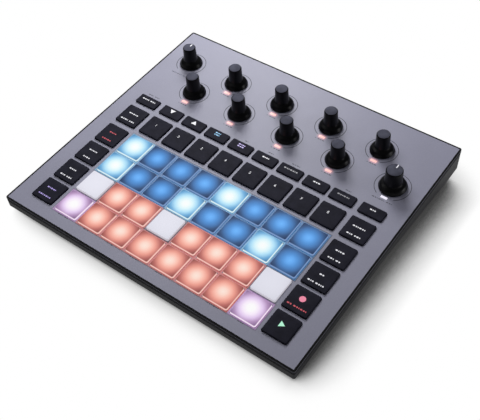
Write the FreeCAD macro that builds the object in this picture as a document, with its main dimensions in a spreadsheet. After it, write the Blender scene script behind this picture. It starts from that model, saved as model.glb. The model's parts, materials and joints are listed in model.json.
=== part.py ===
# Table-top drum machine: a wedge-shaped case with a tilted control panel,
# thirty-two soft pads, twenty-eight buttons and ten rotary controls.
#
# World frame: +X to the player's right, +Y to the back, +Z up, origin under the
# centre of the bounding box. Most pieces are drawn in the panel's own frame:
# x to the right, y from the panel's front edge to its back edge, z out of the face.
import FreeCAD, Part
import Sketcher
import math
import os

from FreeCAD import Placement, Rotation, Vector

SIZES = {
    # Case and panel
    "panel_thickness": 3.0,
    "panel_chamfer": 1.1,
    "panel_chamfer_depth": 0.15,
    "corner_radius": 1.5,
    "tilt": 4.8,
    "front_height": 13.4,
    "seam_chamfer": 0.7,
    "rim_front": 8.7,
    "rim_back": 17.5,
    "rim_slope_end_margin": 15.0,
    "belly_side_inset": 8.0,
    "belly_front_inset": 3.5,
    "wall": 1.8,
    "floor": 2.0,
    # Feet
    "foot_height": 2.0,
    "foot_radius": 6.0,
    "foot_recess": 0.6,
    "foot_gap": 0.2,
    "foot_bevel": 0.5,
    "foot_inset_x": 22.0,
    "foot_inset_y": 20.0,
    # Grid of pads and buttons, from the panel's front edge to its back edge
    "pitch": 21.2,
    "side_step": 22.7,
    "side_margin": 23.1,
    "first_row": 21.1,
    "track_step": 23.2,
    "upper_step": 18.4,
    "knob_step": 27.3,
    "knob_rows_apart": 24.9,
    "back_margin": 31.5,
    "pad_size": 19.0,
    "button_size": 18.2,
    "upper_depth": 9.0,
    "cap_gap": 0.25,
    "cap_corner": 1.0,
    "cap_rounding": 0.45,
    "cap_height": 1.4,
    "flange_reach": 0.4,
    "flange_height": 1.0,
    "flange_gap": 0.1,
    "plunger_radius": 3.0,
    "pad_plunger_radius": 4.0,
    "upper_plunger_radius": 2.2,
    "plunger_height": 0.8,
    "button_travel": 0.9,
    "stop_gap": 0.1,
    # Rotary controls
    "knob_top": 16.4,
    "knob_lift": 0.5,
    "knob_rim_height": 0.7,
    "knob_edge": 0.5,
    "knob_dome_height": 3.0,
    "knob_dome_inset": 1.2,
    "knob_dome_rounding": 2.4,
    "knob_shoulder": 4.4,
    "knob_neck_rounding": 0.9,
    "knob_draft": 0.35,
    "knob_roof": 3.0,
    "shaft_radius": 3.0,
    "shaft_flat": 0.9,
    "shaft_flat_start": 1.5,
    "shaft_fit": 0.05,
    "shaft_hole": 3.7,
    "encoder_size": 11.0,
    "encoder_floor": 1.0,
    "encoder_clearance": 0.5,
    "led_length": 4.9,
    "led_width": 2.0,
    "led_offset": 11.8,
    "led_gap": 0.05,
    # Keymat and boards
    "dome_height": 1.0,
    "dome_radius": 3.6,
    "mat_thickness": 1.0,
    "mat_margin": 5.1,
    "board_thickness": 1.6,
    "board_margin": 8.0,
    "main_board_depth": 60.0,
    "main_board_lift": 1.0,
    "main_board_gap": 0.5,
    "board_foot_radius": 2.5,
    "board_foot_inset": 6.0,
    "header_width": 30.0,
    "header_depth": 5.0,
    "header_place": 6.0,
    "header_gap": 0.1,
    "battery_width": 96.0,
    "battery_depth": 54.0,
    "battery_height": 6.4,
    "battery_back_gap": 4.0,
    # Screws
    "screw_radius": 1.25,
    "screw_gap": 0.1,
    "screw_head_radius": 2.3,
    "screw_head_height": 1.6,
    "boss_radius": 2.5,
    "boss_height": 3.0,
    "boss_gap": 0.45,
    "post_radius": 4.1,
    "post_gap": 1.1,
    "post_shelf": 2.0,
    "screw_bite": 4.6,
    "screw_middle_step": 13.7,
    "screw_back_margin": 20.0,
    "board_post_gap": 3.1,
    "well_gap": 0.4,
    "standoff_radius": 2.5,
    # Sockets in the back wall, each group placed from its neighbour on the right
    "socket_height": 12.6,
    "line_bore": 3.2,
    "line_body": 12.0,
    "line_depth": 31.0,
    "line_collar": 4.4,
    "mini_bore": 1.8,
    "mini_body": 8.0,
    "mini_depth": 15.0,
    "mini_collar": 2.9,
    "jack_end": 1.0,
    "socket_hole_gap": 0.2,
    "line_step": 30.0,
    "line_pitch": 19.0,
    "mini_step": 18.0,
    "mini_pitch": 13.0,
    "usb_step": 16.0,
    "usb_width": 9.0,
    "usb_height": 3.3,
    "usb_depth": 9.0,
    "usb_shell": 0.4,
    "card_step": 15.5,
    "card_width": 11.4,
    "card_height": 1.2,
    "card_depth": 14.0,
    "card_shell": 0.5,
    "port_stand_gap": 1.0,
    "lock_inset": 12.0,
    "lock_width": 7.0,
    "lock_height": 3.0,
    # Power button
    "power_inset": 18.5,
    "power_width": 7.0,
    "power_height": 4.2,
    "power_travel": 1.0,
    "power_gap": 0.2,
    "power_flange": 1.0,
    "power_inside": 3.0,
    "switch_width": 6.0,
    "switch_depth": 3.5,
    "switch_height": 7.5,
    # Knobs: radius of the stem and of the skirt, for the plain ones and the large one
    "plain_stem": 4.9,
    "plain_skirt": 8.9,
    "large_stem": 5.9,
    "large_skirt": 9.95,
    # How far a cutter starts before what it cuts, or runs past it
    "past": 1.0,
}

PAD_COLUMNS = 8
PAD_ROWS = 4
LINE_JACKS = 4
MINI_JACKS = 5

# Places and overall sizes that follow from the sizes above, as formulas of the same sheet
FORMULAS = {
    "side_column": f"{(PAD_COLUMNS - 1) / 2} * pitch + side_step",
    "panel_width": "2 * (side_column + side_margin)",
    "track_row": f"first_row + {PAD_ROWS - 1} * pitch + track_step",
    "upper_row": "track_row + upper_step",
    "front_knob_row": "upper_row + knob_step",
    "back_knob_row": "front_knob_row + knob_rows_apart",
    "panel_depth": "back_knob_row + back_margin",
    "rim_slope_start": "panel_depth / 2",
    "rim_slope_end": "panel_depth - rim_slope_end_margin",
    "mat_half_width": "side_column + mat_margin",
    "mat_front": "first_row - mat_margin",
    "mat_back": "upper_row + mat_margin",
    "board_back": "back_knob_row + board_margin",
    "screw_side": "mat_half_width + post_gap + post_radius",
    "screw_front_row": "first_row - pad_size / 2 - cap_gap - flange_reach - boss_gap - boss_radius",
    "screw_middle_row": "upper_row + screw_middle_step",
    "screw_back_row": "panel_depth - screw_back_margin",
    "main_board_half_width": "screw_side - post_radius - board_post_gap",
    "power_x": "panel_width / 2 - power_inset",
    "card_x": "power_x - card_step",
    "usb_x": "card_x - usb_step",
    "mini_first": "usb_x - mini_step",
    "line_first": f"mini_first - {MINI_JACKS - 1} * mini_pitch - line_step",
    "lock_x": "lock_inset - panel_width / 2",
}

doc = FreeCAD.newDocument("drum_machine")
sheet = doc.addObject("Spreadsheet::Sheet", "Size")
cells = {**SIZES, **{name: f"={formula}" for name, formula in FORMULAS.items()}}
for line, (alias, content) in enumerate(cells.items(), start=1):
    sheet.set(f"A{line}", alias)
    sheet.set(f"B{line}", str(content))
    sheet.setAlias(f"B{line}", alias)
doc.recompute()

COS = "cos(Size.tilt * 1 deg)"
SIN = "sin(Size.tilt * 1 deg)"

# World y of the panel's front edge, so that the whole part is centred on the origin
FRONT_Y = (f"(-(Size.panel_depth * {COS} + (Size.panel_thickness + Size.panel_chamfer_depth)"
           f" * {SIN}) / 2)")
PANEL_BOTTOM = "(-Size.panel_thickness)"
CAP_BOTTOM = (f"({PANEL_BOTTOM} - Size.flange_gap - Size.flange_height)")
DOME_TOP = f"({CAP_BOTTOM} - Size.plunger_height - Size.button_travel - Size.stop_gap)"
MAT_TOP = f"({DOME_TOP} - Size.dome_height)"
BOARD_TOP = f"({MAT_TOP} - Size.mat_thickness)"
BOARD_BOTTOM = f"({BOARD_TOP} - Size.board_thickness)"
BOSS_BOTTOM = f"({PANEL_BOTTOM} - Size.boss_height)"
SHELF_BOTTOM = f"({BOSS_BOTTOM} - Size.post_shelf)"
BACK_OUTER = f"(Size.panel_depth * {COS})"
BACK_INNER = f"({BACK_OUTER} - Size.wall)"
FLOOR_TOP = "(Size.foot_height + Size.floor)"
FIRST_COLUMN = f"({-(PAD_COLUMNS - 1) / 2} * Size.pitch)"
ROW_SPAN = f"({PAD_ROWS - 1} * Size.pitch)"
COLUMN_SPAN = f"({PAD_COLUMNS - 1} * Size.pitch)"
SIDE_SPAN = "(2 * Size.side_column)"
MAIN_BOARD_BOTTOM = f"({FLOOR_TOP} + Size.main_board_lift)"
MAIN_BOARD_TOP = f"({MAIN_BOARD_BOTTOM} + Size.board_thickness)"
MAIN_BOARD_BACK = f"({BACK_INNER} - Size.main_board_gap)"
MAIN_BOARD_FRONT = f"({MAIN_BOARD_BACK} - Size.main_board_depth)"
WALL_CUT_START = f"({BACK_INNER} - Size.past)"
WALL_CUT_LENGTH = "(Size.wall + 2 * Size.past)"


def value(expression):
    """Evaluates an expression on the sheet's cells as a plain number."""
    return float(sheet.evalExpression(str(expression)))


def panel_y(from_front, height):
    """Panel-frame y of a world point, given its distance from the front edge and its height."""
    return f"(({from_front}) * {COS} + (({height}) - Size.front_height) * {SIN})"


def panel_z(from_front, height):
    """Panel-frame z of the same world point."""
    return f"(-({from_front}) * {SIN} + (({height}) - Size.front_height) * {COS})"


def level_z(y, height):
    """Panel-frame z at which a level plane of that world height passes the given y."""
    return f"((({height}) - Size.front_height - ({y}) * {SIN}) / {COS})"


def back_y(z):
    """Panel-frame y of the upright back wall's outer face at the given z."""
    return f"(({BACK_OUTER} + ({z}) * {SIN}) / {COS})"


def place_on_panel(piece, x="0", y="0", z="0"):
    """Gives an object the panel's tilt and a place in the panel's frame."""
    piece.Placement = Placement(Vector(), Rotation(Vector(1, 0, 0), value("Size.tilt")))
    piece.setExpression("Placement.Rotation.Angle", "Size.tilt * 1 deg")
    piece.setExpression("Placement.Base.x", f"{x}")
    piece.setExpression("Placement.Base.y", f"{FRONT_Y} + ({y}) * {COS} - ({z}) * {SIN}")
    piece.setExpression("Placement.Base.z", f"Size.front_height + ({y}) * {SIN} + ({z}) * {COS}")
    return piece


def place_level(piece, x, from_front, height):
    """Gives an object a place in the world, its y measured from the panel's front edge."""
    piece.setExpression("Placement.Base.x", f"{x}")
    piece.setExpression("Placement.Base.y", f"{FRONT_Y} + {from_front}")
    piece.setExpression("Placement.Base.z", f"{height}")
    return piece


def new_body(name):
    body = doc.addObject("PartDesign::Body", name)
    body.Label = name
    return body


def origin_feature(body, role):
    return next(item for item in body.Origin.OriginFeatures if item.Role == role)


def new_sketch(body, name, plane="XY_Plane", height="0"):
    """Adds a sketch on one of the body's origin planes, lifted along that plane's normal."""
    sketch = body.newObject("Sketcher::SketchObject", name)
    sketch.AttachmentSupport = [(origin_feature(body, plane), "")]
    sketch.MapMode = "FlatFace"
    sketch.setExpression("AttachmentOffset.Base.z", f"{height}")
    return sketch


def bind(sketch, kind, *references, to):
    """Adds a dimension to a sketch and ties it to an expression."""
    index = sketch.addConstraint(Sketcher.Constraint(kind, *references, value(to)))
    sketch.setExpression(f"Constraints[{index}]", f"{to}")


def draw_circle(sketch, x, y, radius):
    circle = sketch.addGeometry(Part.Circle(Vector(value(x), value(y), 0), Vector(0, 0, 1), value(radius)))
    bind(sketch, "DistanceX", circle, 3, to=x)
    bind(sketch, "DistanceY", circle, 3, to=y)
    bind(sketch, "Radius", circle, to=radius)


def draw_polygon(sketch, corners):
    """Draws a closed outline through corners given as pairs of expressions."""
    points = [Vector(value(u), value(v), 0) for u, v in corners]
    count = len(points)
    first = sketch.GeometryCount
    for index in range(count):
        sketch.addGeometry(Part.LineSegment(points[index], points[(index + 1) % count]))
    for index, (u, v) in enumerate(corners):
        following = first + (index + 1) % count
        sketch.addConstraint(Sketcher.Constraint("Coincident", first + index, 2, following, 1))
        bind(sketch, "DistanceX", first + index, 1, to=u)
        bind(sketch, "DistanceY", first + index, 1, to=v)


def draw_box(sketch, left, right, low, high):
    draw_polygon(sketch, [(left, low), (right, low), (right, high), (left, high)])


def draw_rounded_box(sketch, left, right, low, high, radius):
    """Draws a rectangle with four equal corner arcs, each side tied to an expression."""
    x0, x1, y0, y1, r = (value(item) for item in (left, right, low, high, radius))
    sides = [((x0 + r, y0), (x1 - r, y0)), ((x1, y0 + r), (x1, y1 - r)),
             ((x1 - r, y1), (x0 + r, y1)), ((x0, y1 - r), (x0, y0 + r))]
    centres = [(x1 - r, y0 + r), (x1 - r, y1 - r), (x0 + r, y1 - r), (x0 + r, y0 + r)]
    first = sketch.GeometryCount
    for number, (side, centre) in enumerate(zip(sides, centres)):
        start, end = (Vector(*point, 0) for point in side)
        sketch.addGeometry(Part.LineSegment(start, end))
        corner = Part.Circle(Vector(*centre, 0), Vector(0, 0, 1), r)
        turn = (number - 1) * math.pi / 2
        sketch.addGeometry(Part.ArcOfCircle(corner, turn, turn + math.pi / 2))
    for number in range(4):
        line = first + 2 * number
        following = first + (2 * number + 2) % 8
        sketch.addConstraint(Sketcher.Constraint("Tangent", line, 2, line + 1, 1))
        sketch.addConstraint(Sketcher.Constraint("Tangent", line + 1, 2, following, 1))
        sketch.addConstraint(Sketcher.Constraint("Vertical" if number % 2 else "Horizontal", line))
        if number:
            sketch.addConstraint(Sketcher.Constraint("Equal", first + 1, line + 1))
    bind(sketch, "Radius", first + 1, to=radius)
    bind(sketch, "DistanceY", first, 1, to=low)
    bind(sketch, "DistanceX", first + 2, 1, to=right)
    bind(sketch, "DistanceY", first + 4, 1, to=high)
    bind(sketch, "DistanceX", first + 6, 1, to=left)


def extrude(body, kind, sketch, length, reverse=False, both_ways=False):
    """Adds a Pad or Pocket of the given length, and makes it the body's tip."""
    feature = body.newObject(f"PartDesign::{kind}", f"{sketch.Name}_{kind.lower()}")
    feature.Profile = sketch
    feature.Type = "Length"
    feature.setExpression("Length", f"{length}")
    feature.Reversed = reverse
    if both_ways:
        feature.SideType = "Symmetric"
    sketch.Visibility = False
    body.Tip = feature
    return feature


def repeat(body, feature, sketch, count_x=1, span_x="0", count_y=1, span_y="0"):
    """Repeats a feature along the sketch's axes; each span runs from first to last copy."""
    pattern = body.newObject("PartDesign::LinearPattern", f"{feature.Name}_grid")
    pattern.Originals = [feature]
    steps = [(axis, count, span) for axis, count, span
             in (("H_Axis", count_x, span_x), ("V_Axis", count_y, span_y)) if count > 1]
    pattern.Direction = (sketch, [steps[0][0]])
    pattern.Occurrences = steps[0][1]
    pattern.setExpression("Length", steps[0][2])
    if len(steps) > 1:
        pattern.Direction2 = (sketch, [steps[1][0]])
        pattern.Occurrences2 = steps[1][1]
        pattern.setExpression("Length2", steps[1][2])
    body.Tip = pattern
    return pattern


def dress(body, kind, base, chosen, size, second_size=None):
    """Rounds or bevels the base feature's edges that pass the test."""
    doc.recompute()
    names = [f"Edge{number}" for number, edge in enumerate(base.Shape.Edges, start=1) if chosen(edge)]
    feature = body.newObject(f"PartDesign::{kind}", f"{body.Name}_{kind.lower()}_{len(body.Group)}")
    feature.Base = (base, names)
    feature.setExpression("Radius" if kind == "Fillet" else "Size", f"{size}")
    if second_size:
        feature.ChamferType = "Two distances"
        feature.setExpression("Size2", f"{second_size}")
    body.Tip = feature
    return feature


def edge_at_height(height):
    level = value(height)
    return lambda edge: all(abs(corner.Z - level) < 1e-4 for corner in edge.Vertexes)


# Places of pads and buttons: name, first x and y, copies and spans, half width, half depth
def grid(name, x, y, columns, span_x, rows, span_y, width, depth):
    return {"name": name, "x": x, "y": y, "columns": columns, "span_x": span_x,
            "rows": rows, "span_y": span_y, "width": width, "depth": depth}


SIDE_X = "(-Size.side_column)"
BUTTON = "Size.button_size"
GRIDS = [
    grid("pads", FIRST_COLUMN, "Size.first_row", PAD_COLUMNS, COLUMN_SPAN, PAD_ROWS, ROW_SPAN,
         "Size.pad_size", "Size.pad_size"),
    grid("side", SIDE_X, "Size.first_row", 2, SIDE_SPAN, PAD_ROWS, ROW_SPAN, BUTTON, BUTTON),
    grid("track", FIRST_COLUMN, "Size.track_row", PAD_COLUMNS, COLUMN_SPAN, 1, "0", BUTTON, BUTTON),
    grid("track_side", SIDE_X, "Size.track_row", 2, SIDE_SPAN, 1, "0", BUTTON, BUTTON),
    grid("upper", FIRST_COLUMN, "Size.upper_row", PAD_COLUMNS, COLUMN_SPAN, 1, "0",
         BUTTON, "Size.upper_depth"),
    grid("upper_side", SIDE_X, "Size.upper_row", 2, SIDE_SPAN, 1, "0", BUTTON, "Size.upper_depth"),
]

# Rotary controls, left to right: name, x, y, size of knob, and whether it turns endlessly
KNOBS = [("volume_knob", SIDE_X, "Size.back_knob_row", "plain", False)]
for number in range(PAD_COLUMNS):
    x = f"({FIRST_COLUMN} + {number} * Size.pitch)"
    y = "Size.back_knob_row" if number % 2 else "Size.front_knob_row"
    KNOBS.append((f"macro_knob_{number + 1}", x, y, "plain", True))
KNOBS.append(("filter_knob", "Size.side_column", "Size.front_knob_row", "large", False))

# Two screws between the front pads, and six outside the mat
SCREWS = [(f"({side} * 2 * Size.pitch)", "Size.screw_front_row") for side in (-1, 1)]
SCREWS += [(f"({side} * Size.screw_side)", row) for side in (-1, 1)
           for row in ("Size.screw_front_row", "Size.screw_middle_row", "Size.screw_back_row")]

# The control board hangs from four of the columns that have no knob in the front row
STANDOFFS = [(x, "Size.front_knob_row")
             for x in (SIDE_X, "(-2.5 * Size.pitch)", "(1.5 * Size.pitch)", "(3.5 * Size.pitch)")]
FEET =[(f"({side} * (Size.panel_width / 2 - Size.foot_inset_x))", row) for side in (-1, 1)
        for row in ("Size.foot_inset_y", f"({BACK_OUTER} - Size.foot_inset_y)")]


def line_jack_x(number):
    return f"(Size.line_first - {number} * Size.line_pitch)"


def mini_jack_x(number):
    return f"(Size.mini_first - {number} * Size.mini_pitch)"


def make_panel_openings():
    """Everything that is cut through the panel: pad and button openings, shaft and window holes."""
    body = new_body("panel_openings")
    cut_height = "(Size.panel_thickness + 2 * Size.past)"
    for group in GRIDS:
        opening = new_sketch(body, f"opening_{group['name']}", height="Size.past")
        half_x = f"({group['width']} / 2 + Size.cap_gap)"
        half_y = f"({group['depth']} / 2 + Size.cap_gap)"
        x, y = group["x"], group["y"]
        draw_rounded_box(opening, f"{x} - {half_x}", f"{x} + {half_x}", f"{y} - {half_y}", f"{y} + {half_y}",
                         "Size.cap_corner + Size.cap_gap")
        block = extrude(body, "Pad", opening, cut_height, reverse=True)
        repeat(body, block, opening, group["columns"], group["span_x"], group["rows"], group["span_y"])
    holes = new_sketch(body, "shaft_holes", height="Size.past")
    for _, x, y, _, _ in KNOBS:
        draw_circle(holes, x, y, "Size.shaft_hole")
    extrude(body, "Pad", holes, cut_height, reverse=True)
    windows = new_sketch(body, "led_holes", height="Size.past")
    for _, x, y, _, _ in KNOBS[1:]:
        draw_window(windows, x, y, "Size.led_gap")
    extrude(body, "Pad", windows, cut_height, reverse=True)
    return place_on_panel(body)


def draw_window(sketch, x, y, gap):
    """Draws one indicator window in front of its knob, wider by the gap on every side."""
    reach_x, reach_y = f"(Size.led_length / 2 + {gap})", f"(Size.led_width / 2 + {gap})"
    middle = f"({y} - Size.led_offset)"
    draw_box(sketch, f"{x} - {reach_x}", f"{x} + {reach_x}", f"{middle} - {reach_y}", f"{middle} + {reach_y}")


def make_top_panel():
    """Painted panel: bevelled plate with short screw bosses, cut by every opening at once."""
    body = new_body("panel_plate")
    outline = new_sketch(body, "panel_outline")
    half = "Size.panel_width / 2"
    draw_rounded_box(outline, f"-{half}", half, "0", "Size.panel_depth", "Size.corner_radius")
    plate = extrude(body, "Pad", outline, "Size.panel_thickness", reverse=True)
    dress(body, "Chamfer", plate, edge_at_height("0"), "Size.panel_chamfer_depth", "Size.panel_chamfer")
    bosses = new_sketch(body, "bosses", height=BOSS_BOTTOM)
    pilots = new_sketch(body, "pilot_holes", height=BOSS_BOTTOM)
    for x, y in SCREWS:
        draw_circle(bosses, x, y, "Size.boss_radius")
        draw_circle(pilots, x, y, "Size.screw_radius + Size.screw_gap")
    extrude(body, "Pad", bosses, "Size.boss_height")
    extrude(body, "Pocket", pilots, "Size.screw_bite + Size.screw_gap", reverse=True)
    standoffs = new_sketch(body, "standoffs", height=BOARD_TOP)
    for x, y in STANDOFFS:
        draw_circle(standoffs, x, y, "Size.standoff_radius")
    extrude(body, "Pad", standoffs, f"{PANEL_BOTTOM} - {BOARD_TOP}")
    place_on_panel(body)
    return cut("top_panel", body, make_panel_openings())


def cut(name, base, tool):
    """Part cut whose label is the name of the finished sub-part."""
    result = doc.addObject("Part::Cut", name)
    result.Base = base
    result.Tool = tool
    result.Label = name
    return result


def group_of(name, pieces, kind="Part::Compound"):
    """Groups separate solids, or fuses or joins them as tools for a cut."""
    result = doc.addObject(kind, name)
    result.Label = name
    if kind == "Part::Compound":
        result.Links = pieces
    else:
        result.Shapes = pieces
    return result


def box(name, width, depth, height):
    piece = doc.addObject("Part::Box", name)
    for key, size in (("Length", width), ("Width", depth), ("Height", height)):
        piece.setExpression(key, f"{size}")
    return piece


def cylinder(name, radius, height):
    piece = doc.addObject("Part::Cylinder", name)
    piece.setExpression("Radius", f"{radius}")
    piece.setExpression("Height", f"{height}")
    return piece


def level_box(name, x, from_front, bottom, width, depth, height):
    """Box in the world's axes, centred on x, its front face at the given distance."""
    piece = box(name, width, depth, height)
    return place_level(piece, f"{x} - ({width}) / 2", from_front, bottom)


def bore(name, x, from_front, height, radius, length):
    """Cylinder along +Y from the given distance, for a plug's hole or collar."""
    piece = cylinder(name, radius, length)
    piece.Placement.Rotation = Rotation(Vector(1, 0, 0), -90)
    return place_level(piece, x, from_front, height)


def panel_cylinder(name, x, y, bottom, radius, height):
    """Cylinder square to the panel, standing on the given panel-frame height."""
    return place_on_panel(cylinder(name, radius, height), x, y, bottom)


def rim_corners():
    top, front, back = PANEL_BOTTOM, "(-Size.rim_front)", "(-Size.rim_back)"
    return [("0", top), ("0", front), ("Size.rim_slope_start", front), ("Size.rim_slope_end", back),
            (back_y(back), back), (back_y(top), top)]


def belly_corners():
    front = "Size.belly_front_inset"
    return [(front, PANEL_BOTTOM), (front, level_z(front, "Size.foot_height")),
            (panel_y(BACK_OUTER, "Size.foot_height"), panel_z(BACK_OUTER, "Size.foot_height")),
            (back_y(PANEL_BOTTOM), PANEL_BOTTOM)]


def cavity_corners():
    front = "(Size.belly_front_inset + Size.wall)"
    top = f"({PANEL_BOTTOM} + Size.past)"
    return [(front, top), (front, level_z(front, FLOOR_TOP)),
            (panel_y(BACK_INNER, FLOOR_TOP), panel_z(BACK_INNER, FLOOR_TOP)),
            (f"({back_y(top)} - Size.wall)", top)]


def make_case_shell():
    """Moulded tray: a flush rim under the panel, a narrower belly and a flat floor."""
    body = new_body("case_shell")
    rim = new_sketch(body, "rim_section", "YZ_Plane")
    draw_polygon(rim, rim_corners())
    rim_pad = extrude(body, "Pad", rim, "Size.panel_width", both_ways=True)
    doc.recompute()
    side = value("Size.panel_width") / 2
    rounded = dress(body, "Fillet", rim_pad, lambda edge: corner_edge(edge, side), "Size.corner_radius")
    dress(body, "Chamfer", rounded, edge_at_height(PANEL_BOTTOM), "Size.seam_chamfer")
    belly = new_sketch(body, "belly_section", "YZ_Plane")
    draw_polygon(belly, belly_corners())
    belly_width = "(Size.panel_width - 2 * Size.belly_side_inset)"
    extrude(body, "Pad", belly, belly_width, both_ways=True)
    cavity = new_sketch(body, "cavity_section", "YZ_Plane")
    draw_polygon(cavity, cavity_corners())
    extrude(body, "Pocket", cavity, f"{belly_width} - 2 * Size.wall", both_ways=True)
    return place_on_panel(body)


def corner_edge(edge, side):
    """True for the rim's four corner edges, which run nearly square to the panel."""
    reach = edge.BoundBox
    at_side = abs(abs(reach.XMin) - side) < 1e-4 and reach.XLength < 1e-4
    return at_side and reach.ZLength > 4 * reach.YLength


def make_posts():
    """Screw posts of the tray, and the stepped holes that run up through them."""
    posts, holes = [], []
    for number, (x, y) in enumerate(SCREWS):
        floor_z = level_z(y, "(Size.foot_height + Size.floor / 2)")
        height = f"({BOSS_BOTTOM} - {floor_z})"
        posts.append(panel_cylinder(f"post_{number}", x, y, floor_z, "Size.post_radius", height))
        well_bottom = f"({level_z(y, 'Size.foot_height')} - 2 * Size.past)"
        well_height = f"({SHELF_BOTTOM} - {well_bottom})"
        holes.append(panel_cylinder(f"well_{number}", x, y, well_bottom,
                                    "Size.screw_head_radius + Size.well_gap", well_height))
        hole_height = f"({BOSS_BOTTOM} - {well_bottom} + Size.past)"
        holes.append(panel_cylinder(f"shelf_hole_{number}", x, y, well_bottom,
                                    "Size.screw_radius + Size.screw_gap", hole_height))
    return posts, holes


def make_board_feet():
    """Low pillars of the tray that carry the main board."""
    side = "(Size.main_board_half_width - Size.board_foot_inset)"
    rows = (f"({MAIN_BOARD_FRONT} + Size.board_foot_inset)", f"({MAIN_BOARD_BACK} - Size.board_foot_inset)")
    feet = []
    for number, (sign, row) in enumerate((sign, row) for sign in (-1, 1) for row in rows):
        pillar = cylinder(f"board_foot_{number}", "Size.board_foot_radius",
                          "Size.main_board_lift + Size.floor / 2")
        feet.append(place_level(pillar, f"({sign} * {side})", row, f"({FLOOR_TOP} - Size.floor / 2)"))
    return feet


def wall_hole(name, x, width, height):
    """Rectangular cutter through the back wall, centred on the socket line."""
    return level_box(name, x, WALL_CUT_START, f"(Size.socket_height - ({height}) / 2)",
                     width, WALL_CUT_LENGTH, height)


def round_wall_hole(name, x, radius):
    """Round cutter through the back wall, on the socket line."""
    return bore(name, x, WALL_CUT_START, "Size.socket_height", radius, WALL_CUT_LENGTH)


def make_lower_case():
    """Tray with its posts, cut by the screw wells, foot recesses and socket holes."""
    posts, cutters = make_posts()
    for number in range(LINE_JACKS):
        cutters.append(round_wall_hole(f"line_hole_{number}", line_jack_x(number),
                                       "Size.line_collar + Size.socket_hole_gap"))
    for number in range(MINI_JACKS):
        cutters.append(round_wall_hole(f"mini_hole_{number}", mini_jack_x(number),
                                       "Size.mini_collar + Size.socket_hole_gap"))
    for port in ("usb", "card"):
        margin = f"2 * (Size.{port}_shell + Size.socket_hole_gap)"
        cutters.append(wall_hole(f"{port}_hole", f"Size.{port}_x", f"(Size.{port}_width + {margin})",
                                 f"(Size.{port}_height + {margin})"))
    cutters.append(wall_hole("lock_slot", "Size.lock_x", "Size.lock_width", "Size.lock_height"))
    cutters.append(wall_hole("power_hole", "Size.power_x", "Size.power_width + 2 * Size.power_gap",
                             "Size.power_height + 2 * Size.power_gap"))
    for number, (x, y) in enumerate(FEET):
        recess = cylinder(f"foot_recess_{number}", "Size.foot_radius + Size.foot_gap",
                          "Size.foot_recess + Size.past")
        cutters.append(place_level(recess, x, y, "(Size.foot_height - Size.past)"))
    tray = group_of("tray", [make_case_shell()] + posts + make_board_feet(), "Part::MultiFuse")
    return cut("lower_case", tray, group_of("case_cutters", cutters))


def make_feet():
    """Four rubber feet seated in the tray's recesses, their lower edge softened."""
    feet = []
    for number, (x, y) in enumerate(FEET):
        disc = cylinder(f"foot_disc_{number}", "Size.foot_radius", "Size.foot_height + Size.foot_recess")
        doc.recompute()
        foot = doc.addObject("Part::Chamfer", f"foot_{number}")
        foot.Base = place_level(disc, x, y, "0")
        doc.recompute()
        ring = next(index for index, edge in enumerate(disc.Shape.Edges, start=1)
                    if edge.Closed and abs(edge.BoundBox.ZMax) < 1e-6)
        foot.Edges = [(ring, value("Size.foot_bevel"), value("Size.foot_bevel"))]
        feet.append(foot)
    return group_of("rubber_feet", feet)


def make_cap(name, width, depth, plunger="Size.plunger_radius"):
    """Soft cap at the panel's origin: softened block, a flange behind the panel and a plunger."""
    body = new_body(name)
    half_x, half_y = f"({width} / 2)", f"({depth} / 2)"
    flange = new_sketch(body, f"{name}_flange", height=CAP_BOTTOM)
    reach_x = f"({half_x} + Size.cap_gap + Size.flange_reach)"
    reach_y = f"({half_y} + Size.cap_gap + Size.flange_reach)"
    draw_rounded_box(flange, f"-{reach_x}", reach_x, f"-{reach_y}", reach_y, "Size.cap_corner")
    extrude(body, "Pad", flange, "Size.flange_height")
    block = new_sketch(body, f"{name}_block", height=CAP_BOTTOM)
    draw_rounded_box(block, f"-{half_x}", half_x, f"-{half_y}", half_y, "Size.cap_corner")
    top = extrude(body, "Pad", block, f"Size.cap_height - {CAP_BOTTOM}")
    dress(body, "Fillet", top, edge_at_height("Size.cap_height"), "Size.cap_rounding")
    stem = new_sketch(body, f"{name}_plunger", height=CAP_BOTTOM)
    draw_circle(stem, "0", "0", plunger)
    extrude(body, "Pad", stem, "Size.plunger_height", reverse=True)
    return body


def copy_of(master, name, x, y):
    """A body that repeats the master's shape at another place on the panel."""
    body = new_body(name)
    base = body.newObject("PartDesign::FeatureBase", f"{name}_base")
    base.BaseFeature = master
    body.Tip = base
    return place_on_panel(body, x, y)


def make_pads():
    """Thirty-two velocity pads, row 1 nearest the player, column 1 at the left."""
    master = make_cap("pad_form", "Size.pad_size", "Size.pad_size", "Size.pad_plunger_radius")
    pads = []
    for row in range(PAD_ROWS):
        for column in range(PAD_COLUMNS):
            x = f"({FIRST_COLUMN} + {column} * Size.pitch)"
            y = f"(Size.first_row + {row} * Size.pitch)"
            pads.append(copy_of(master, f"pad_{row + 1}_{column + 1}", x, y))
    return pads


def make_buttons():
    """Four blocks of buttons: the shallow upper row, the track row and the two side columns."""
    square = make_cap("button_form", BUTTON, BUTTON)
    shallow = make_cap("upper_form", BUTTON, "Size.upper_depth", "Size.upper_plunger_radius")
    columns = [f"({FIRST_COLUMN} + {number} * Size.pitch)" for number in range(PAD_COLUMNS)]
    rows = [f"(Size.first_row + {number} * Size.pitch)" for number in range(PAD_ROWS)] + ["Size.track_row"]
    upper = [(x, "Size.upper_row") for x in [SIDE_X] + columns + ["Size.side_column"]]
    blocks = {"upper_buttons": (shallow, upper),
              "track_buttons": (square, [(x, "Size.track_row") for x in columns]),
              "left_buttons": (square, [(SIDE_X, y) for y in rows]),
              "right_buttons": (square, [("Size.side_column", y) for y in rows])}
    made = []
    for name, (master, places) in blocks.items():
        caps = [copy_of(master, f"{name}_{number}", x, y) for number, (x, y) in enumerate(places, start=1)]
        made.append(group_of(name, caps))
    return made


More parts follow.
